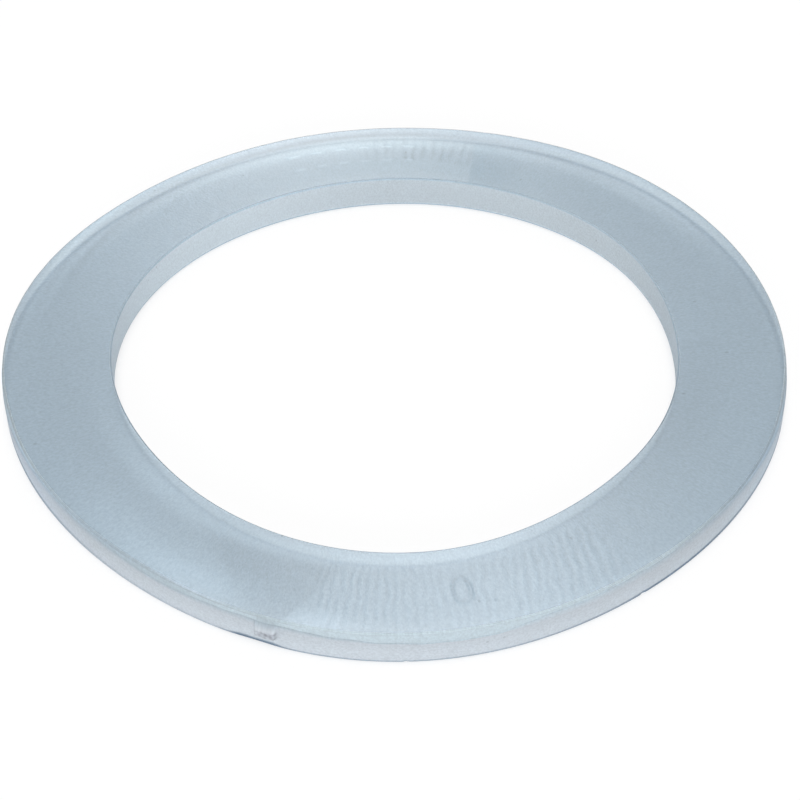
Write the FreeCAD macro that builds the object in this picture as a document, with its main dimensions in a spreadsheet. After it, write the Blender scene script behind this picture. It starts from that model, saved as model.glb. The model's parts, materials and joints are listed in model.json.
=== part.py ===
import FreeCAD
import Part
import Sketcher
import os

# Flat union gasket: one moulded ring that lies flat, +Z up, with its axis on Z
# and its lower sealing face on Z = 0. All lengths are millimetres.

doc = FreeCAD.newDocument("unionGasket")
dims = doc.addObject("Spreadsheet::Sheet", "dims")

sizes = [
    ("outerDiameter", 44.0),  # rim, a loose fit inside the union nut
    ("boreDiameter", 32.2),   # way through, clear of the pipe bore
    ("thickness", 2.0),       # between the two sealing faces
    ("edgeRound", 0.1),       # moulded corner of all four edges
    ("gateAngle", 251.5),     # place of the gate stub round the rim, in degrees
    ("gateWidth", 1.25),      # stub, along the rim
    ("gateProud", 0.3),       # how far the stub stands out of the rim
    ("gateRoot", 0.4),        # how far the stub reaches into the wall
    ("gateUnder", 0.75),      # lower sealing face to the underside of the stub
    ("gateHeight", 0.85),     # underside of the stub to its top
    ("gateBevel", 0.12),      # worn corner round the stub's torn end
]
for row, (alias, value) in enumerate(sizes, start=1):
    dims.set(f"A{row}", alias)
    dims.set(f"B{row}", str(value))
    dims.setAlias(f"B{row}", alias)
doc.recompute()


def newSketch(body, name, role):
    plane = next(f for f in body.Origin.OriginFeatures if f.Role == role)
    sketch = body.newObject("Sketcher::SketchObject", name)
    sketch.AttachmentSupport = [(plane, "")]
    sketch.MapMode = "FlatFace"
    return sketch


def addRectangle(sketch):
    # sides in order: 0 bottom, 1 right, 2 top, 3 left
    corners = [FreeCAD.Vector(x, y, 0) for x, y in ((1, 0), (2, 0), (2, 1), (1, 1))]
    for start, end in zip(corners, corners[1:] + corners[:1]):
        sketch.addGeometry(Part.LineSegment(start, end), False)
    for side in range(4):
        sketch.addConstraint(Sketcher.Constraint("Coincident", side, 2, (side + 1) % 4, 1))
        direction = "Horizontal" if side % 2 == 0 else "Vertical"
        sketch.addConstraint(Sketcher.Constraint(direction, side))


def addSize(sketch, name, kind, first, second, formula):
    # first and second are (geometry, point) pairs; (-1, 1) is the sketch's origin
    index = sketch.addConstraint(Sketcher.Constraint(kind, *first, *second, 1.0))
    sketch.renameConstraint(index, name)
    sketch.setExpression(f"Constraints.{name}", formula)


def edgesWhere(feature, wanted):
    return [f"Edge{n}" for n, edge in enumerate(feature.Shape.Edges, start=1) if wanted(edge)]


def makeRing(body):
    # rectangular section, turned once round the axis
    section = newSketch(body, "section", "XZ_Plane")
    addRectangle(section)
    section.addConstraint(Sketcher.Constraint("PointOnObject", 0, 1, -1))
    addSize(section, "boreRadius", "DistanceX", (-1, 1), (0, 1), "dims.boreDiameter / 2")
    addSize(section, "rimRadius", "DistanceX", (-1, 1), (0, 2), "dims.outerDiameter / 2")
    addSize(section, "height", "DistanceY", (1, 1), (1, 2), "dims.thickness")
    ring = body.newObject("PartDesign::Revolution", "ring")
    ring.Profile = section
    ring.ReferenceAxis = (section, ["V_Axis"])
    ring.Angle = 360
    doc.recompute()

    corners = body.newObject("PartDesign::Fillet", "corners")
    corners.Base = (ring, edgesWhere(ring, lambda edge: isinstance(edge.Curve, Part.Circle)))
    corners.setExpression("Radius", "dims.edgeRound")
    doc.recompute()
    return corners


def makeGateStub(body):
    # short stub left on the rim where the moulding was torn from its feed
    outline = newSketch(body, "gateOutline", "XY_Plane")
    outline.AttachmentOffset = FreeCAD.Placement(
        FreeCAD.Vector(0, 0, 1), FreeCAD.Rotation(FreeCAD.Vector(0, 0, 1), 1))
    outline.setExpression("AttachmentOffset.Base.z", "dims.gateUnder")
    outline.setExpression("AttachmentOffset.Rotation.Angle", "dims.gateAngle")
    addRectangle(outline)
    addSize(outline, "root", "DistanceX", (-1, 1), (3, 1), "dims.outerDiameter / 2 - dims.gateRoot")
    addSize(outline, "tornEnd", "DistanceX", (-1, 1), (1, 1), "dims.outerDiameter / 2 + dims.gateProud")
    addSize(outline, "halfBefore", "DistanceY", (1, 1), (-1, 1), "dims.gateWidth / 2")
    addSize(outline, "halfAfter", "DistanceY", (-1, 1), (1, 2), "dims.gateWidth / 2")
    stub = body.newObject("PartDesign::Pad", "gateStub")
    stub.Profile = outline
    stub.setExpression("Length", "dims.gateHeight")
    doc.recompute()

    rim = dims.outerDiameter / 2
    tornEnd = edgesWhere(stub, lambda edge: min(v.Point.Length for v in edge.Vertexes) > rim + dims.edgeRound
                         and isinstance(edge.Curve, Part.Line))
    worn = body.newObject("PartDesign::Chamfer", "gateCorner")
    worn.Base = (stub, tornEnd)
    worn.setExpression("Size", "dims.gateBevel")
    doc.recompute()
    return worn


body = doc.addObject("PartDesign::Body", "gasketRing")
body.Label = "gasket_ring"
body.Placement = FreeCAD.Placement()
corners = makeRing(body)
worn = makeGateStub(body)
body.Tip = worn
doc.recompute()

if not corners.Shape.Volume < worn.Shape.Volume:
    raise RuntimeError("the gate stub added nothing to the ring")
for item in doc.Objects:
    if "Invalid" in item.State or "Error" in item.State:
        raise RuntimeError(f"{item.Label} failed to compute")
if body.Shape.isNull() or not body.Shape.isValid() or len(body.Shape.Solids) != 1:
    raise RuntimeError("the ring is not one valid solid")

os.makedirs("parts", exist_ok=True)
body.Shape.exportStep(f"parts/{body.Label}.step")
box = body.Shape.BoundBox
print(f"{body.Label}: {box.XLength:.3f} x {box.YLength:.3f} x {box.ZLength:.3f} mm, {body.Shape.Volume:.1f} mm3")
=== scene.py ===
import json
import math

import bpy
import numpy as np
from mathutils import Matrix, Vector


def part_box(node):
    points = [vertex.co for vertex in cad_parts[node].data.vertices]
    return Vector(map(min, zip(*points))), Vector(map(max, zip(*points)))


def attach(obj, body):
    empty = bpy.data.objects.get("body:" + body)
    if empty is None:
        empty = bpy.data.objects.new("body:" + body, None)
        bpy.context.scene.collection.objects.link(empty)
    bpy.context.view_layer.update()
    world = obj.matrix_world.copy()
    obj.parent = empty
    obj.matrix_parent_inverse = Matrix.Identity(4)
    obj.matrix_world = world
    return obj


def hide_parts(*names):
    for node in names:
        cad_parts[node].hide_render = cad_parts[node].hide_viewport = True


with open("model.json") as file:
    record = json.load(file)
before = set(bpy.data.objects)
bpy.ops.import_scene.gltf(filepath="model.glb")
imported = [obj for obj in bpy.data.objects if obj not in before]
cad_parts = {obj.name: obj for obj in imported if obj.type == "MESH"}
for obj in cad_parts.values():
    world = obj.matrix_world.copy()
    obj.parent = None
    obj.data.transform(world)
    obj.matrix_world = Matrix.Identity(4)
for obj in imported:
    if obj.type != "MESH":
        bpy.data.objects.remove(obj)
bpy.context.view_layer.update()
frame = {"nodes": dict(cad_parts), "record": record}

mm = 0.001
print("frame loaded:", ", ".join(sorted(frame["nodes"])))


def hexToLinear(text):
    channels = [int(text[i:i + 2], 16) / 255 for i in (1, 3, 5)]
    return tuple(c / 12.92 if c <= 0.04045 else ((c + 0.055) / 1.055) ** 2.4 for c in channels) + (1.0,)


def addNode(tree, kind, settings=None, inputs=None):
    node = tree.nodes.new(kind)
    for name, value in (settings or {}).items():
        setattr(node, name, value)
    for name, value in (inputs or {}).items():
        if isinstance(value, bpy.types.NodeSocket):
            tree.links.new(value, node.inputs[name])
        else:
            node.inputs[name].default_value = value
    return node


# Rim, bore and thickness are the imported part's own. Until the mesh is made, lengths are millimetres,
# angles are degrees round +Z from +X, and a tone is a share added to the colour.
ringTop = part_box("gasket_ring")[1]
bore = next(m for m in frame["record"]["mounts"] if m["name"] == "bore")
middleRadius = 20                   # where the ripples' pitch and the grain are measured
ring = {
    "rimRadius": ringTop.x / mm,
    "boreRadius": bore["dims"]["r_mm"],
    "thickness": ringTop.z / mm,
    "edgeRound": 0.1,
    "sink": 0.02,                   # the upper face lies this low, so its marks stay in the thickness
    # out of round as moulded, with two to seven lobes: cosine and sine of each, shares of the radius
    "rimLobes": ((0.0121, 0.0), (-0.0058, 0.0092), (0.0065, -0.0018), (-0.0016, -0.0018), (0.0, -0.0014),
                 (0.0003, 0.0007)),
    "boreLobes": ((0.0015, -0.0015), (-0.0042, 0.0124), (0.004, -0.0026), (-0.0018, -0.0014),
                  (-0.0009, -0.001), (-0.0013, -0.0008)),
}
meshing = {                         # rows and columns lie closer where the form or the tone changes fast
    "columnStep": 0.8,              # degrees
    "fineColumns": ((70, 114, 0.26), (254, 310, 0.2), (242.0, 254.4, 0.11)),    # from, to, step
    "innerStops": (0, 0.008, 0.02),                                     # shares of the way from bore to rim
    "faceStops": ((0.045, 0.11, 3), (0.13, 0.70, 28), (0.72, 0.96, 12)),        # from, to, rows
    "outerStops": (0.98, 0.992, 0.998, 1),
    "cornerTurns": (22, 45, 68, 90),                                    # degrees round each corner
    "cornerTop": 57,                # the corner counts as upper edge up to this, and as its side beyond
    "upperWallStops": (0.2, 0.5, 0.67, 0.74, 0.86, 0.95),               # shares of the way down to the seam
    "wallTop": 1.34, "wallMiddle": 0.58, "wallRows": 10,
    "wallLevels": (0.5, 0.42, 0.36, 0.3, 0.24, 0.19, 0.14),
    "underEdge": 0.13,                                                  # in from the rim
    "underInsets": (0.3, 0.7, 1.1, 1.4, 1.8, 2.4),
    "underInner": 0.16,                                                 # out from the bore
    "boreLevels": (0.14, 0.3, 0.5, 0.75, 1.05, 1.84),
}
seam = {                            # parting line of the mould round the rim
    # angle, drop below the upper face
    "line": ((0, 0.3), (20, 0.2), (160, 0.2), (180, 0.3), (193, 0.7), (203, 0.3), (212, 0.17), (237, 0.42),
             (248, 0.3), (258, 0.37), (262, 0.48), (277, 0.67), (283, 0.62), (290, 0.2), (318, 0.13),
             (330, 0.25), (338, 0.45), (348, 0.8), (360, 0.3)),
    "belowEdge": 0.02,              # least drop, past the rounded edge
    "wobble": 0.03,                 # ragged where the mould halves meet
    "wobbleSize": 1.8,
    "seed": 11,
    "inset": 0.03,                  # the upper mould half's wall stands in by this
    "lean": 0.16,                   # and leans in with each millimetre of height
    "ledgeWide": 0.02,
    "ledgeRound": 0.01,
    "ledgeTall": 0.015,
    "wallStart": 0.04,              # the plain wall starts this far below the line
}
gate = {                            # stub of the feed, cut on top and torn at its end
    "angle": 251.9,
    "width": 1.25,
    "proud": 0.3,
    "under": 0.7,                   # free height below it
    "height": 0.9,
    "bevel": 0.12,
    "skirt": 0.02,
    "slope": 0.3,                   # the clean cut on top slopes down over this much of the height
    "facetLight": 0.1,               # painted light on the clean cut, which faces up
    "facetBlur": (-0.05, 0.08),
    "roughness": 0.03,
    "roughSize": 0.35,
    "roughInset": 0.25,
    "roughEase": 0.15,
    "roughSeed": 5,
}
tear = {                            # the stub's torn end, dark in ragged spots
    "colour": "#6f6a76",
    "share": 0.42,
    "from": 0.62, "to": 1.25, "ease": 0.1,      # height above the floor
    "plain": 0.45,
    "endShare": 0.5, "endFrom": -1.5, "endTo": 0.6,             # darker from one end of the stub to the other
    "cutShare": 0.25, "cutBelow": 0.06, "cutWide": 0.07,        # and along the clean cut
    "spotShare": 0.35, "spotSize": 0.25, "spotSeed": 21, "darkest": 1.5,
    "edgeFrom": -0.16, "edgeTo": 0.1,
    "raggedness": 0.06, "raggedSize": 0.4, "raggedSeed": 22,
}
nicks = [                           # two small ones, and the lower corner worn away beside the stub
    {"angle": 270.6, "z": 0.06, "wide": 0.1, "tall": 0.1, "depth": 0.06},
    {"angle": 305.2, "z": 0.1, "wide": 0.13, "tall": 0.13, "depth": 0.07},
    {"angle": 250.0, "z": 0.0, "wide": 1.2, "tall": 0.16, "depth": 0.07},
]
swells = ((0.002, 9, 1), (0.0008, 1.6, 2))      # of the upper face: height, size, seed
# flow marks, in waves that follow each other round the face, their light and shade partly painted in the
# tone; widen is what the pitch grows by a degree
ripples = [
    {"from": 257, "to": 304, "ease": 4, "inner": 17.4, "outer": 21.9, "pitch": 0.46, "widen": 0.0017,
     "lean": 0.3, "leanFrom": 276, "waver": 0.07, "height": 0.0022, "tone": 0.06, "sharpness": 1, "seed": 3},
    {"from": 74.5, "to": 95, "ease": 4, "inner": 18.0, "outer": 20.2, "pitch": 0.64, "widen": 0,
     "lean": 0, "leanFrom": 90, "waver": 0.05, "height": 0.0015, "tone": -0.17, "sharpness": 1.5, "seed": 8},
]
rippleForm = {
    "leanOver": 12,                 # degrees over which the lean grows
    "waverSize": 1.5,
    "sideEase": 0.5,
    "strength": 0.8, "strengthSwing": 0.35, "strongest": 1.3,
    "strengthSize": 2.2,            # of weaker and stronger places
}
ovalMark = {                        # plain raised marks, one at the front and two rows at the back
    "angle": 279.3, "radius": 19.33,
    "halfWide": 0.46, "halfTall": 0.85,
    "stroke": 0.16, "height": 0.014,
    "tone": -0.14,
}
dashMarks = {
    "angles": (87, 91.2, 95.4, 99.8, 104.4, 109),
    "outerRow": 19.5, "innerRow": 18.05, "innerShare": 0.6,
    "halfWide": 0.25,
    "stroke": 0.16, "height": 0.014,
    # painted glints on the dashes
    "tone": 0.3,
}


def smooth(start, end, x):
    t = np.clip((x - start) / (end - start), 0, 1)
    return t * t * (3 - 2 * t)


def window(x, start, end, ease):
    return smooth(start - ease / 2, start + ease / 2, x) * (1 - smooth(end - ease / 2, end + ease / 2, x))


def bell(x, middle, wide):
    return np.exp(-((x - middle) / wide) ** 2)


def alongTable(angle, table):
    return np.interp(angle, *zip(*table))


def onPlane(angle, radius):
    turn = np.radians(angle)
    return radius * np.cos(turn), radius * np.sin(turn)


def roundRim(angle):
    return np.radians(angle) * ring["rimRadius"]


def outOfRound(angle, lobes):
    turn = np.radians(angle)
    return 1 + sum(a * np.cos(n * turn) + b * np.sin(n * turn) for n, (a, b) in enumerate(lobes, start=2))


def wander(x, y, size, seed):
    # smooth random field, about -1 to 1, with swells of the given size
    waves = 14
    slowest, fastest = 0.7, 1.5     # waves on a length of the given size
    rng = np.random.default_rng(seed)
    total = np.zeros(np.broadcast(x, y).shape)
    for _ in range(waves):
        heading = rng.uniform(0, 2 * math.pi)
        stretch = rng.uniform(slowest, fastest) * 2 * math.pi / size
        start = rng.uniform(0, 2 * math.pi)
        total += np.sin((x * math.cos(heading) + y * math.sin(heading)) * stretch + start)
    return total / math.sqrt(waves)


def ringColumns():
    # column angles in degrees, denser where the fine relief is
    at = np.linspace(0, 360, 14401)                 # looked at every fortieth of a degree
    density = np.full(at.shape, 1 / meshing["columnStep"])
    for start, end, step in meshing["fineColumns"]:
        density = np.where((at > start) & (at < end), np.maximum(density, 1 / step), density)
    total = np.concatenate([[0], np.cumsum((density[1:] + density[:-1]) / 2 * np.diff(at))])
    count = int(total[-1])
    return np.interp(np.arange(count) / count * total[-1], total, at)


def rippleWave(band, angle, radius):
    # about -1 to 1 in the band, or 0 to 1 where sharpness leaves narrow crests, and 0 outside the band
    x, y = onPlane(angle, radius)
    leanShare = np.clip(angle - band["leanFrom"], 0, rippleForm["leanOver"]) / rippleForm["leanOver"]
    along = middleRadius * np.radians(angle - band["from"])
    along = along + leanShare * band["lean"] * (radius - middleRadius)
    along = along + band["waver"] * wander(x, y, rippleForm["waverSize"], band["seed"])
    share = window(angle, band["from"], band["to"], band["ease"])
    share = share * window(radius, band["inner"], band["outer"], rippleForm["sideEase"])
    swing = rippleForm["strengthSwing"] * wander(x, y, rippleForm["strengthSize"], band["seed"] + 1)
    share = share * np.clip(rippleForm["strength"] + swing, 0, rippleForm["strongest"])
    pitch = band["pitch"] + band["widen"] * (angle - band["from"])
    crest = (0.5 + 0.5 * np.sin(2 * math.pi * along / pitch)) ** band["sharpness"]
    return share * (2 * crest - 1) if band["sharpness"] == 1 else share * crest


def ovalLine(angle, radius):
    across = ovalMark["radius"] * np.radians(angle - ovalMark["angle"]) / ovalMark["halfWide"]
    upward = (radius - ovalMark["radius"]) / ovalMark["halfTall"]
    gap = np.abs(np.hypot(across, upward) - 1) * ovalMark["halfWide"]
    return 1 - smooth(0, ovalMark["stroke"], gap)


def dashLines(angle, radius):
    total = np.zeros(angle.shape)
    for row, share in ((dashMarks["outerRow"], 1), (dashMarks["innerRow"], dashMarks["innerShare"])):
        for spot in dashMarks["angles"]:
            beyond = np.maximum(np.abs(row * np.radians(angle - spot)) - dashMarks["halfWide"], 0)
            total = total + share * (1 - smooth(0, dashMarks["stroke"], np.hypot(beyond, radius - row)))
    return total


def upperRelief(angle, radius):
    x, y = onPlane(angle, radius)
    height = sum(tall * wander(x, y, size, seed) for tall, size, seed in swells)
    for band in ripples:
        height = height + band["height"] * rippleWave(band, angle, radius)
    height = height + ovalMark["height"] * ovalLine(angle, radius)
    return height + dashMarks["height"] * dashLines(angle, radius)


def seamDrop(angle):
    x, y = onPlane(angle, ring["rimRadius"])
    drop = alongTable(angle, seam["line"]) + seam["wobble"] * wander(x, y, seam["wobbleSize"], seam["seed"])
    return np.maximum(drop, ring["edgeRound"] + seam["belowEdge"])


def gateReach(angle, z):
    # how far a point of the rim lies outside the stub's outline, negative within it
    along = np.abs(roundRim(angle - gate["angle"])) - gate["width"] / 2
    level = np.abs(z - gate["under"] - gate["height"] / 2) - gate["height"] / 2
    return np.maximum(along, level)


def rimBulge(angle, z):
    # the stub that stands out of the rim with a cut top and a torn, worn end, less the nicks
    inside = gateReach(angle, z)
    slope = np.clip((gate["under"] + gate["height"] - z) / gate["slope"], 0, 1)
    out = gate["proud"] * slope * (1 - smooth(-gate["bevel"], gate["skirt"], inside))
    torn = 1 - smooth(-gate["roughInset"], 0, inside)
    torn = torn * (1 - smooth(tear["to"] - gate["roughEase"], tear["to"], z))
    out = out + wander(roundRim(angle), z, gate["roughSize"], gate["roughSeed"]) * gate["roughness"] * torn
    for nick in nicks:
        across = roundRim(angle - nick["angle"])
        out = out - nick["depth"] * bell(across, 0, nick["wide"]) * bell(z, nick["z"], nick["tall"])
    return out


def ringSurface():
    # radius, height and kind of every point, in rows over the upper face, down the rim, under and up the bore
    angle = ringColumns()
    rim = ring["rimRadius"] * outOfRound(angle, ring["rimLobes"])
    inner = ring["boreRadius"] * outOfRound(angle, ring["boreLobes"])
    top, soft = ring["thickness"] - ring["sink"], ring["edgeRound"]
    drop = seamDrop(angle)
    lean = seam["inset"] + seam["lean"] * (drop - soft)
    corner = np.radians(meshing["cornerTurns"])
    rows = []

    def addRow(radius, z, kind):
        rows.append((np.broadcast_to(radius, angle.shape), np.broadcast_to(z, angle.shape), kind))

    stops = [np.linspace(start, end, count) for start, end, count in meshing["faceStops"]]
    for share in np.concatenate([meshing["innerStops"], *stops, meshing["outerStops"]]):
        kind = "face" if share < 1 else "upperEdge"
        addRow(inner + soft + share * (rim - lean - inner - 2 * soft), top, kind)
    for a in corner:
        kind = "upperEdge" if a < math.radians(meshing["cornerTop"]) else "edgeSide"
        addRow(rim - lean - soft + soft * math.sin(a), top - soft + soft * math.cos(a), kind)
    for share in meshing["upperWallStops"]:
        addRow(rim - lean + (lean - seam["inset"]) * share, top - soft - share * (drop - soft), "upperWall")
    addRow(rim - seam["inset"] - seam["ledgeWide"], top - drop, "seam")
    addRow(rim - seam["ledgeRound"], top - drop - seam["ledgeTall"], "seam")
    start, middle = np.minimum(top - drop - seam["wallStart"], meshing["wallTop"]), meshing["wallMiddle"]
    for share in np.linspace(1, 0, meshing["wallRows"]):
        addRow(rim, middle + share * (start - middle), "wall")
    for z in (*meshing["wallLevels"], soft):
        addRow(rim, z, "wall")
    for a in corner:
        addRow(rim - soft + soft * math.cos(a), soft - soft * math.sin(a), "lowerEdge")
    addRow(rim - meshing["underEdge"], 0, "underEdge")
    for inset in meshing["underInsets"]:
        addRow(rim - inset, 0, "under")
    for reach in (meshing["underInner"], soft):
        addRow(inner + reach, 0, "under")
    for a in corner:
        addRow(inner + soft - soft * math.sin(a), soft - soft * math.cos(a), "boreEdge")
    for z in (*meshing["boreLevels"], top - soft):
        addRow(inner, z, "boreWall")
    for a in corner[:-1]:
        addRow(inner + soft - soft * math.cos(a), top - soft + soft * math.sin(a), "boreTop")
    radius, z, kinds = zip(*rows)
    return angle, np.array(radius), np.array(z), np.array(kinds)


def ringMesh(name):
    angle, radius, z, kinds = ringSurface()
    face = kinds == "face"
    grid = np.broadcast_to(angle, radius.shape)
    inner, outer = radius[0], radius[face][-1]
    flatBorder = 0.5                # the relief fades out towards both edges of the face
    fade = smooth(0, flatBorder, radius[face] - inner) * smooth(0, flatBorder, outer - radius[face])
    z[face] += upperRelief(grid[face], radius[face]) * fade
    bulging = np.isin(kinds, ("upperEdge", "edgeSide", "upperWall", "seam", "wall", "lowerEdge"))
    radius[bulging] += rimBulge(grid[bulging], z[bulging])
    points = np.stack([*onPlane(grid, radius), z], -1).reshape(-1, 3) * mm
    rows, columns = radius.shape
    i, j = np.meshgrid(np.arange(rows), np.arange(columns), indexing="ij")
    nextRow, nextColumn = (i + 1) % rows, (j + 1) % columns
    corners = ((i, j), (nextRow, j), (nextRow, nextColumn), (i, nextColumn))
    quads = np.stack([row * columns + column for row, column in corners], -1).reshape(-1, 4)
    mesh = bpy.data.meshes.new(name)
    mesh.from_pydata(points.tolist(), [], quads.tolist())
    mesh.shade_smooth()
    frosted = np.isin(kinds, ("upperEdge", "edgeSide", "upperWall", "seam", "wall", "boreWall", "boreTop"))
    mesh.polygons.foreach_set("material_index", np.repeat(frosted.astype(np.int32), columns))
    paintRing(mesh, grid, radius, z, kinds)
    piece = bpy.data.objects.new(name, mesh)
    bpy.context.scene.collection.objects.link(piece)
    return piece


# Silicone rubber, moulded: a milky body that lets light through, a satin upper face and frosted walls
silicone = {
    "ior": 1.47,
    "grainSize": 0.12,     # mm, of the mould's fine texture, drawn coarser than the real one so that it shows
    "grainStretch": 0.6,   # drawn out towards the rim
    "grainHeight": 0.005,
    "grainTone": 0.09,     # light and dark specks
    "grainRange": (0.3, 0.7),
    "pitSpacing": 1.5,     # mm, between the tiny dark pits
    "pitShare": 0.06,      # of that, a pit's radius
    "pitTone": 0.22,
    "bottomClear": 0.35,   # the lower face passes less light but for a strip along the rim at the back
    "bottomRimClear": 1.0,
    "bottomRimFrom": 20.5, "bottomRimTo": 21.2,
    "bottomRimAngles": (32, 148, 30),           # from, to, ease
    "wallThrough": 0.55,   # share of the frosted walls that glows with light from behind
}
finish = {                 # colour, how much light goes through, roughness
    "face": ("#a8b9c5", 0.5, 0.25),
    # the edges and walls are painted paler than the face, partly for their frosted finish and partly as
    # painted light for the glow of the milky body at its edges
    "upperEdge": ("#e8f5fb", 0.0, 0.7),
    "edgeSide": ("#e1eef4", 0.1, 0.7),
    "upperWall": ("#e0edf3", 0.15, 0.6),
    "seam": ("#cbd7df", 0.1, 0.8),
    "wall": ("#e0e5ea", 0.2, 0.6),
    # painted contact shade: the bottom corners and the strip just in from the rim underneath are darker
    "lowerEdge": ("#8b9fae", 0.0, 0.8),
    "underEdge": ("#8499a9", 0.0, 0.6),
    "under": ("#a8b9c5", 0.25, 0.3),
    # painted contact shade along the foot of the bore
    "boreEdge": ("#7f97a9", 0.0, 0.6),
    "boreWall": ("#d1d9de", 0.2, 0.6),
    "boreTop": ("#c3d2dd", 0.1, 0.7),
}
# slow changes of tone on the upper face: borders left by the way the moulding filled, with painted shade
# where the sheen is weaker, and painted light and shade where the walls, the bore and the lower edge show
# through the face
wedge = {                  # painted shade beside the gate where the sheen is weaker, its right border sharp at the rim only
    "tip": 253.8, "turnRight": 1.45,            # right border at the rim, and degrees it moves per mm inwards
    "leftTip": 250.5, "turnLeft": -3.3,
    "inner": 17.4, "innerBlur": 0.6,            # radius where it ends towards the bore
    "leftBlur": 4,
    "sharp": 0.4, "sharpFrom": 21,              # blur of the right border, outside this radius
    "blurring": 0.5, "blurOver": 3,             # and what each mm further in adds, over so many
    "wallEase": 1.5, "wallFrom": 1.2, "wallTo": 1.5,            # on the wall near its top only
    "tone": -0.12,
}
knit = {                   # where two flows met at the back: a sharp border that leans, with painted shade to one side where the sheen is weaker
    "inner": 73.2, "outer": 75.0,               # the border's angle at the bore, and further out
    "from": 16.1, "over": 4,                    # radius near the bore, and mm from there outwards
    "reach": 14, "darkest": 1,                  # degrees before the border: where it begins, and is darkest
    "borderFrom": -0.4, "borderTo": 0.2,
    "fadeFrom": 19.9, "fadeTo": 20.6,           # radius
    "tone": (-0.15, -0.11, -0.09),
}
toneAndLightPatches = [                # soft paler and darker places, many of them painted light and shade; side 1: only right of the wedge's border, -1: left
    {"angle": 258.6, "radius": 21.5, "wide": 5.0, "tall": 0.7, "tone": 0.26, "side": 1},
    {"angle": 238.0, "radius": 20.8, "wide": 12.0, "tall": 1.2, "tone": 0.29, "side": -1},
    # painted sheen in the middle of the front
    {"angle": 287.0, "radius": 20.3, "wide": 18.0, "tall": 2.6, "tone": 0.11, "side": 1},
    {"angle": 222.0, "radius": 20.0, "wide": 10.0, "tall": 1.6, "tone": 0.1},
    {"angle": 262.0, "radius": 21.4, "wide": 48.0, "tall": 3.6, "tone": 0.12},
    {"angle": 258.0, "radius": 22.1, "wide": 22.0, "tall": 1.0, "tone": (0.27, 0.21, 0.18)},
    # painted light: the bore's wall seen through the face at the front
    {"angle": 242.0, "radius": 17.2, "wide": 36.0, "tall": 0.5, "tone": 0.19},
    {"angle": 286.0, "radius": 17.2, "wide": 20.0, "tall": 0.5, "tone": 0.09},
    {"angle": 221.0, "radius": 16.6, "wide": 15.0, "tall": 0.45, "tone": 0.17},
    {"angle": 249.0, "radius": 16.25, "wide": 8.0, "tall": 0.3, "tone": -0.09},
    {"angle": 226.0, "radius": 22.0, "wide": 18.0, "tall": 0.4, "tone": -0.11},
    {"angle": 338.0, "radius": 22.0, "wide": 14.0, "tall": 0.4, "tone": -0.09},
    {"angle": 338.0, "radius": 17.2, "wide": 25.0, "tall": 1.4, "tone": -0.07},
    {"angle": 296.0, "radius": 21.7, "wide": 16.0, "tall": 0.4, "tone": 0.09},
    # painted sheen at the back, and painted shade against too much sheen nearer the bore
    {"angle": 97.0, "radius": 19.85, "wide": 25.0, "tall": 0.8, "tone": (0.26, 0.29, 0.27)},
    {"angle": 92.0, "radius": 17.4, "wide": 30.0, "tall": 1.9, "tone": (-0.23, -0.15, -0.13)},
    # painted shade: the lower outer edge seen through the face as a dark line
    {"angle": 101.0, "radius": 20.75, "wide": 27.0, "tall": 0.26, "tone": -0.32},
    {"angle": 148.0, "radius": 18.0, "wide": 20.0, "tall": 2.6, "tone": 0.09},
    # painted light and shade along the back rim, where the outer wall shows through the face
    {"angle": 150.0, "radius": 20.5, "wide": 14.0, "tall": 0.3, "tone": -0.1},
    {"angle": 146.0, "radius": 21.8, "wide": 20.0, "tall": 0.32, "tone": 0.31},
    {"angle": 120.0, "radius": 21.45, "wide": 16.0, "tall": 0.3, "tone": 0.08},
    {"angle": 44.0, "radius": 21.6, "wide": 18.0, "tall": 0.45, "tone": 0.15},
    {"angle": 92.0, "radius": 21.5, "wide": 32.0, "tall": 0.42, "tone": 0.25},
    {"angle": 152.0, "radius": 20.95, "wide": 16.0, "tall": 0.22, "tone": 0.12},
    {"angle": 42.0, "radius": 20.9, "wide": 12.0, "tall": 0.2, "tone": 0.12},
]
# painted light and shade on the walls
wallPaintedShading = {
    "lowTone": 0.01, "highTone": -0.12,                     # low and high on the outer wall
    "lowEnd": 0.4, "highStart": 1.6,
    "backAngle": 92, "backSpread": 25, "backTone": 0.35,    # painted light: paler at both sides of the middle of the back
    "backRange": (20, 165, 20),                             # from, to, ease
    "boreLow": -0.4,                                        # painted shade towards the foot of the bore's wall at the front
    "boreLowTo": 1.2,
    "boreFrontEase": 0.3,
}
edgePaintedShading = (              # painted light and shade round the edges and walls: which rows, and angle and tone of each turning point
    (("upperEdge", "edgeSide"),
     ((0, -0.25), (40, -0.52), (100, -0.57), (150, -0.38), (205, -0.38), (228, -0.42), (240, -0.36),
      (253, -0.31), (258, -0.21), (290, -0.2), (312, -0.3), (325, -0.46), (335, -0.44), (360, -0.25))),
    (("upperWall",),
     ((0, 0.0), (200, -0.05), (211, -0.12), (222, -0.17), (238, -0.14), (247, -0.04), (316, 0.0),
      (327, -0.13), (337, -0.18), (350, -0.1), (360, 0.0))),
    (("boreTop",),
     ((0, 0.0), (50, 0.0), (65, -0.03), (85, 0.04), (105, 0.12), (125, 0.12), (150, 0.03), (190, -0.1),
      (220, -0.25), (240, 0.0), (300, 0.0), (335, -0.25), (360, 0.0))),
    (("boreEdge",),
     ((0, 0.08), (90, -0.15), (180, 0.08), (270, 0.3), (360, 0.08))),
    (("boreWall",),
     ((0, 0.24), (45, 0.04), (90, 0.05), (165, 0.36), (230, 0.22), (262, 0.24), (288, 0.38), (330, 0.17),
      (360, 0.24))),
)
rimRows = ("upperWall", "seam", "wall", "lowerEdge")
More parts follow.
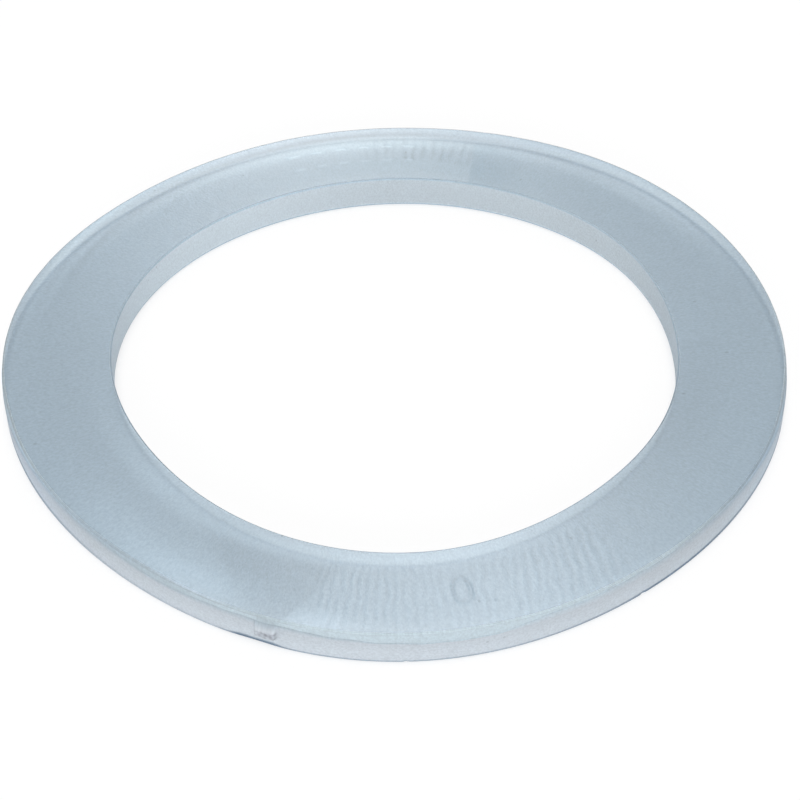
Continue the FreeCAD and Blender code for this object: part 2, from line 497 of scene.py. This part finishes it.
edgePaintedLightTints = (              # painted light: places where the edge or the wall is bluer or paler for the light on it; the seam's lifts the shade on its ledge
    {"rows": rimRows, "angle": 203, "wide": 12, "tone": (0.04, 0.07, 0.11)},
    {"rows": rimRows, "angle": 338, "wide": 14, "tone": (0.08, 0.12, 0.15)},
    {"rows": ("upperEdge", "edgeSide", "upperWall"), "angle": 218, "wide": 16, "tone": (0, 0.02, 0.05)},
    {"rows": ("upperEdge", "edgeSide", "upperWall"), "angle": 332, "wide": 14, "tone": (-0.02, 0, 0.04)},
    {"rows": ("upperEdge",), "angle": 240.5, "wide": 6.5, "tone": (0.12, 0.12, 0.16)},
    {"rows": ("seam",), "angle": 290, "wide": 17, "tone": 0.17},
)
foot = {                   # painted shade: dark line where the wall meets the floor, thickest under the stub
    "colour": "#335f80",
    # angle, strength
    "line": ((185, 0.0), (200, 0.55), (225, 0.2), (244, 0.2), (247.5, 0.8), (253, 0.75), (257, 0.5),
             (275, 0.4), (292, 0.45), (300, 0.55), (308, 0.8), (317, 0.72), (327, 0.5), (345, 0.3),
             (355, 0.0)),
    "height": 0.17,
    "sideHeight": 0.35,    # more at both sides
    # the painted shade reaches higher under the stub
    "stubShadeFrom": 247.2, "stubShadeTo": 253.5, "stubShadeEase": 2.5,
    "stubShadeHeight": 0.2,
}


def wedgeBorders(radius):
    inwards = ring["rimRadius"] - radius
    return wedge["leftTip"] + inwards * wedge["turnLeft"], wedge["tip"] + inwards * wedge["turnRight"]


def wedgeRightShare(angle, radius):
    # 0 left of the wedge's right border and 1 right of it
    right = wedgeBorders(radius)[1]
    blur = wedge["sharp"] + wedge["blurring"] * np.clip(wedge["sharpFrom"] - radius, 0, wedge["blurOver"])
    return smooth(right - blur, right + blur, angle)


# painted shade of the wedge on the upper face
def wedgePaintedShade(angle, radius):
    left = wedgeBorders(radius)[0]
    tone = wedge["tone"] * smooth(left - wedge["leftBlur"], left + wedge["leftBlur"], angle)
    tone = tone * (1 - wedgeRightShare(angle, radius))
    return tone * smooth(wedge["inner"] - wedge["innerBlur"], wedge["inner"] + wedge["innerBlur"], radius)


# share of the knit's painted shade
def knitShadeShare(angle, radius):
    border = knit["inner"] + (radius - knit["from"]) / knit["over"] * (knit["outer"] - knit["inner"])
    share = smooth(border - knit["reach"], border - knit["darkest"], angle)
    share = share * (1 - smooth(border + knit["borderFrom"], border + knit["borderTo"], angle))
    return share * (1 - smooth(knit["fadeFrom"], knit["fadeTo"], radius))


def faceTone(angle, radius):
    tone = wedgePaintedShade(angle, radius)
    # painted light and shade along the ripples
    for band in ripples:
        tone = tone + band["tone"] * rippleWave(band, angle, radius)
    # the oval mark darker along its line, and painted glints on the dashes
    tone = tone + ovalMark["tone"] * ovalLine(angle, radius) + dashMarks["tone"] * dashLines(angle, radius)
    tone = tone[:, :, None] + knitShadeShare(angle, radius)[:, :, None] * np.array(knit["tone"])
    right = wedgeRightShare(angle, radius)
    for patch in toneAndLightPatches:
        spot = bell(angle, patch["angle"], patch["wide"]) * bell(radius, patch["radius"], patch["tall"])
        spot = spot * (1, right, 1 - right)[patch.get("side", 0)]
        tone = tone + spot[:, :, None] * np.array(patch["tone"])
    return tone


def rimTone(angle, z):
    # painted light and shade round the wall, the wedge's painted shade carried over the edge, and painted
    # light on the stub's clean cut
    sides = 1 - bell(angle, wallPaintedShading["backAngle"], wallPaintedShading["backSpread"])
    tone = wallPaintedShading["backTone"] * sides * window(angle, *wallPaintedShading["backRange"])
    upper = smooth(wallPaintedShading["lowEnd"], wallPaintedShading["highStart"], z)
    tone = tone + wallPaintedShading["lowTone"] + (wallPaintedShading["highTone"] - wallPaintedShading["lowTone"]) * upper
    within = window(angle, *wedgeBorders(ring["rimRadius"]), wedge["wallEase"])
    tone = tone + wedge["tone"] * within * smooth(wedge["wallFrom"], wedge["wallTo"], z)
    cut = 1 - smooth(*gate["facetBlur"], gateReach(angle, z))
    return tone + gate["facetLight"] * cut * smooth(tear["to"] - tear["ease"], tear["to"], z)


def tornShare(angle, z):
    # dark and rough where the stub broke off, in ragged spots, darkest along the cut and towards one end
    across = roundRim(angle)
    spots = tear["plain"] + tear["endShare"] * smooth(tear["endFrom"], tear["endTo"], angle - gate["angle"])
    spots = spots + tear["cutShare"] * bell(z, tear["to"] - tear["cutBelow"], tear["cutWide"])
    spots = spots + tear["spotShare"] * wander(across, z, tear["spotSize"], tear["spotSeed"])
    ragged = tear["raggedness"] * wander(across, z, tear["raggedSize"], tear["raggedSeed"])
    within = 1 - smooth(tear["edgeFrom"], tear["edgeTo"], gateReach(angle, z) + ragged)
    within = within * window(z, tear["from"], tear["to"], tear["ease"])
    return np.clip(tear["share"] * np.clip(spots, 0, tear["darkest"]) * within, 0, 1)


# how much painted contact shade each point of the rim gets
def footShadeShare(angle, z):
    height = foot["height"] + foot["sideHeight"] * np.cos(np.radians(angle)) ** 2
    stubShade = window(angle, foot["stubShadeFrom"], foot["stubShadeTo"], foot["stubShadeEase"])
    height = height + foot["stubShadeHeight"] * stubShade
    return alongTable(angle, foot["line"]) * (1 - smooth(height / 2, height, z))


def ringTone(angle, radius, z, kinds):
    tone = np.zeros(radius.shape + (3,))
    face, boreWall = kinds == "face", kinds == "boreWall"
    rim = np.isin(kinds, rimRows)
    tone[face] = faceTone(angle[face], radius[face])
    tone[rim] = rimTone(angle[rim], z[rim])[:, :, None]
    # painted shade towards the foot of the bore's wall at the front
    lowShare = 1 - smooth(0, wallPaintedShading["boreLowTo"], z[boreWall])
    frontShare = smooth(0, wallPaintedShading["boreFrontEase"], -np.sin(np.radians(angle[boreWall])))
    tone[boreWall] = (wallPaintedShading["boreLow"] * lowShare * frontShare)[:, :, None]
    for names, table in edgePaintedShading:
        here = np.isin(kinds, names)
        tone[here] += alongTable(angle[here], table)[:, :, None]
    for tint in edgePaintedLightTints:
        here = np.isin(kinds, tint["rows"])
        tone[here] += bell(angle[here], tint["angle"], tint["wide"])[:, :, None] * np.array(tint["tone"])
    return tone


def paintRing(mesh, angle, radius, z, kinds):
    # colour, clearness and roughness of every point, and the coordinates that the grain follows
    base, clearness, roughness = zip(*(finish[kind] for kind in kinds))
    clear = np.array(clearness)[:, None] * np.ones(radius.shape)
    matt = np.array(roughness)[:, None] * np.ones(radius.shape)
    under = kinds == "under"
    strip = smooth(silicone["bottomRimFrom"], silicone["bottomRimTo"], radius[under])
    strip = strip * window(angle[under], *silicone["bottomRimAngles"])
    clear[under] = silicone["bottomClear"] + (silicone["bottomRimClear"] - silicone["bottomClear"]) * strip
    colour = np.array([hexToLinear(text)[:3] for text in base])[:, None, :]
    colour = np.minimum(colour * (1 + ringTone(angle, radius, z, kinds)), 1)
    rim = np.isin(kinds, rimRows)
    # the torn end's dark colour, and the painted contact shade along the foot
    for share, shade in ((tornShare, tear["colour"]), (footShadeShare, foot["colour"])):
        weight = share(angle[rim], z[rim])[:, :, None]
        colour[rim] = colour[rim] * (1 - weight) + np.array(hexToLinear(shade)[:3]) * weight
    rgba = np.concatenate([colour, np.ones(radius.shape + (1,))], -1)
    flow = np.stack([*onPlane(angle, middleRadius), silicone["grainStretch"] * radius + z], -1)
    mesh.color_attributes.new("paint", "FLOAT_COLOR", "POINT")
    mesh.attributes.new("clear", "FLOAT", "POINT")
    mesh.attributes.new("matt", "FLOAT", "POINT")
    mesh.attributes.new("flow", "FLOAT_VECTOR", "POINT")
    for name, field, values in (("paint", "color", rgba), ("clear", "value", clear), ("matt", "value", matt),
                                ("flow", "vector", flow)):
        mesh.attributes[name].data.foreach_set(field, values.astype(np.float32).ravel())


def siliconeMaterial(name, translucent=0):
    material = bpy.data.materials.new(name)
    material.use_nodes = True
    tree = material.node_tree
    shader = tree.nodes["Principled BSDF"]
    paint = addNode(tree, "ShaderNodeAttribute", {"attribute_name": "paint"})
    clear = addNode(tree, "ShaderNodeAttribute", {"attribute_name": "clear"})
    matt = addNode(tree, "ShaderNodeAttribute", {"attribute_name": "matt"})
    flow = addNode(tree, "ShaderNodeAttribute", {"attribute_name": "flow"}).outputs["Vector"]
    grain = addNode(tree, "ShaderNodeTexNoise", inputs={
        "Vector": flow, "Scale": 1 / silicone["grainSize"], "Detail": 2.0, "Roughness": 0.6})
    faint, full = silicone["grainRange"]
    specks = addNode(tree, "ShaderNodeMapRange", inputs={
        "Value": grain.outputs[0], "From Min": faint, "From Max": full,
        "To Min": 1 - silicone["grainTone"], "To Max": 1 + silicone["grainTone"]})
    cells = addNode(tree, "ShaderNodeTexVoronoi", inputs={
        "Vector": flow, "Scale": 1 / silicone["pitSpacing"]})
    pits = addNode(tree, "ShaderNodeMapRange", inputs={
        "Value": cells.outputs["Distance"], "To Min": 1 - silicone["pitTone"],
        "From Min": silicone["pitShare"] / 2, "From Max": silicone["pitShare"]})
    dark = addNode(tree, "ShaderNodeMath", {"operation": "MULTIPLY"}, {
        0: specks.outputs[0], 1: pits.outputs[0]})
    speckled = addNode(tree, "ShaderNodeHueSaturation", inputs={
        "Value": dark.outputs[0], "Color": paint.outputs["Color"]})
    bump = addNode(tree, "ShaderNodeBump", inputs={
        "Height": grain.outputs[0], "Distance": silicone["grainHeight"] * mm})
    tree.links.new(speckled.outputs[0], shader.inputs["Base Color"])
    tree.links.new(clear.outputs["Fac"], shader.inputs["Transmission Weight"])
    tree.links.new(matt.outputs["Fac"], shader.inputs["Roughness"])
    tree.links.new(bump.outputs[0], shader.inputs["Normal"])
    shader.inputs["IOR"].default_value = silicone["ior"]
    if translucent:
        through = addNode(tree, "ShaderNodeBsdfTranslucent", inputs={"Color": speckled.outputs[0]})
        mix = addNode(tree, "ShaderNodeMixShader", inputs={
            0: translucent, 1: shader.outputs[0], 2: through.outputs[0]})
        tree.links.new(mix.outputs[0], tree.nodes["Material Output"].inputs["Surface"])
    return material


gasket = ringMesh("gasket")
gasket.data.materials.append(siliconeMaterial("mouldedSilicone"))
gasket.data.materials.append(siliconeMaterial("frostedSilicone", silicone["wallThrough"]))
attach(gasket, "root")
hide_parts("gasket_ring")
print("ring made:", len(gasket.data.polygons), "faces")

stage = {
    "floorSize": 3.0,      # m
    "floorDrop": 0.05,     # mm below the ring, so that the two don't share a plane
    "floorColour": "#fafafa",
    "glow": 0.72,          # share of plain white that reflections and rays through the ring meet
    "glowSeen": 0.93,      # and that the camera meets
    "contactReach": 0.55,  # mm, of the soft shadow where the ring meets the floor
    "contactSeen": 0.3,
    "worldColour": "#ffffff",
    "worldStrength": 0.8,
}


def floorMaterial():
    # matt white paint; the camera, reflections and rays through the ring meet mostly plain white
    material = bpy.data.materials.new("paintedFloor")
    material.use_nodes = True
    tree = material.node_tree
    tree.nodes.clear()
    paint = addNode(tree, "ShaderNodeBsdfDiffuse", inputs={"Color": hexToLinear(stage["floorColour"])})
    near = addNode(tree, "ShaderNodeAmbientOcclusion", inputs={"Distance": stage["contactReach"] * mm})
    seen = addNode(tree, "ShaderNodeMapRange", inputs={
        "Value": near.outputs["AO"], "To Min": stage["contactSeen"], "To Max": stage["glowSeen"]})
    white = addNode(tree, "ShaderNodeEmission", inputs={"Strength": 1.0})
    path = addNode(tree, "ShaderNodeLightPath").outputs
    through = addNode(tree, "ShaderNodeMath", {"operation": "MAXIMUM"}, {
        0: path["Is Glossy Ray"], 1: path["Is Transmission Ray"]})
    indirect = addNode(tree, "ShaderNodeMath", {"operation": "MULTIPLY"}, {
        0: through.outputs[0], 1: stage["glow"]})
    direct = addNode(tree, "ShaderNodeMath", {"operation": "MULTIPLY"}, {
        0: path["Is Camera Ray"], 1: seen.outputs[0]})
    share = addNode(tree, "ShaderNodeMath", {"operation": "MAXIMUM"}, {
        0: indirect.outputs[0], 1: direct.outputs[0]})
    mix = addNode(tree, "ShaderNodeMixShader", inputs={
        0: share.outputs[0], 1: paint.outputs[0], 2: white.outputs[0]})
    addNode(tree, "ShaderNodeOutputMaterial", inputs={"Surface": mix.outputs[0]})
    return material


def addFloor():
    half, depth = stage["floorSize"] / 2, -stage["floorDrop"] * mm
    mesh = bpy.data.meshes.new("floor")
    corners = [(-half, -half, depth), (half, -half, depth), (half, half, depth), (-half, half, depth)]
    mesh.from_pydata(corners, [], [(0, 1, 2, 3)])
    floor = bpy.data.objects.new("floor", mesh)
    floor.data.materials.append(floorMaterial())
    bpy.context.scene.collection.objects.link(floor)


def addWorld():
    # the camera sees plain white, and the ring is lit a little below that
    world = bpy.data.worlds.new("studio")
    bpy.context.scene.world = world
    world.use_nodes = True
    background = world.node_tree.nodes["Background"]
    background.inputs["Color"].default_value = hexToLinear(stage["worldColour"])
    path = addNode(world.node_tree, "ShaderNodeLightPath")
    strength = addNode(world.node_tree, "ShaderNodeMapRange", inputs={
        "Value": path.outputs["Is Camera Ray"], "To Min": stage["worldStrength"], "To Max": 1.0})
    world.node_tree.links.new(strength.outputs[0], background.inputs["Strength"])


lamps = [                  # bearing round +Z from +X and height above the floor in degrees, sizes in metres
    {"name": "backSoftbox", "bearing": 90, "height": 42, "distance": 0.6,
     "wide": 0.09, "tall": 0.35, "roll": 15, "power": 0.6},
    {"name": "frontSoftbox", "bearing": -95, "height": 20, "distance": 0.6,
     "wide": 0.5, "tall": 0.2, "roll": 0, "power": 3.5},
]


def facing(place, target, roll):
    # stands at place and looks at target, turned about its own line of sight by roll degrees
    turn = (target - place).to_track_quat("-Z", "Y").to_matrix().to_4x4()
    return Matrix.Translation(place) @ turn @ Matrix.Rotation(math.radians(roll), 4, "Z")


def addLamp(lamp):
    light = bpy.data.lights.new(lamp["name"], "AREA")
    light.shape = "RECTANGLE"
    light.size, light.size_y = lamp["wide"], lamp["tall"]
    light.energy = lamp["power"]
    holder = bpy.data.objects.new(lamp["name"], light)
    bearing, rise = math.radians(lamp["bearing"]), math.radians(lamp["height"])
    out = Vector((math.cos(bearing) * math.cos(rise), math.sin(bearing) * math.cos(rise), math.sin(rise)))
    holder.matrix_world = facing(out * lamp["distance"], Vector(), lamp["roll"])
    bpy.context.scene.collection.objects.link(holder)


# camera: worked out from the outlines of the rim and the bore
view = {
    "focalPixels": 2134,
    "framePixels": 800,
    "sensor": 36,              # mm
    "elevation": 42.2,
    "distance": 5.529,         # in rim radii, from the point looked at
    "aim": (0.0078, -0.1146),  # in rim radii
    "roll": -1.05,
}


def addCamera():
    data = bpy.data.cameras.new("camera")
    data.sensor_width = view["sensor"]
    data.lens = view["focalPixels"] / view["framePixels"] * view["sensor"]
    data.clip_start = 0.005
    camera = bpy.data.objects.new("camera", data)
    rise = math.radians(view["elevation"])
    target = Vector((*view["aim"], 0)) * ringTop.x
    back = Vector((0, -math.cos(rise), math.sin(rise)))
    camera.matrix_world = facing(target + back * view["distance"] * ringTop.x, target, view["roll"])
    bpy.context.scene.collection.objects.link(camera)
    bpy.context.scene.camera = camera


addFloor()
addWorld()
for lamp in lamps:
    addLamp(lamp)
addCamera()
bpy.context.scene.view_settings.view_transform = "Standard"
print("stage, lamps and camera set")
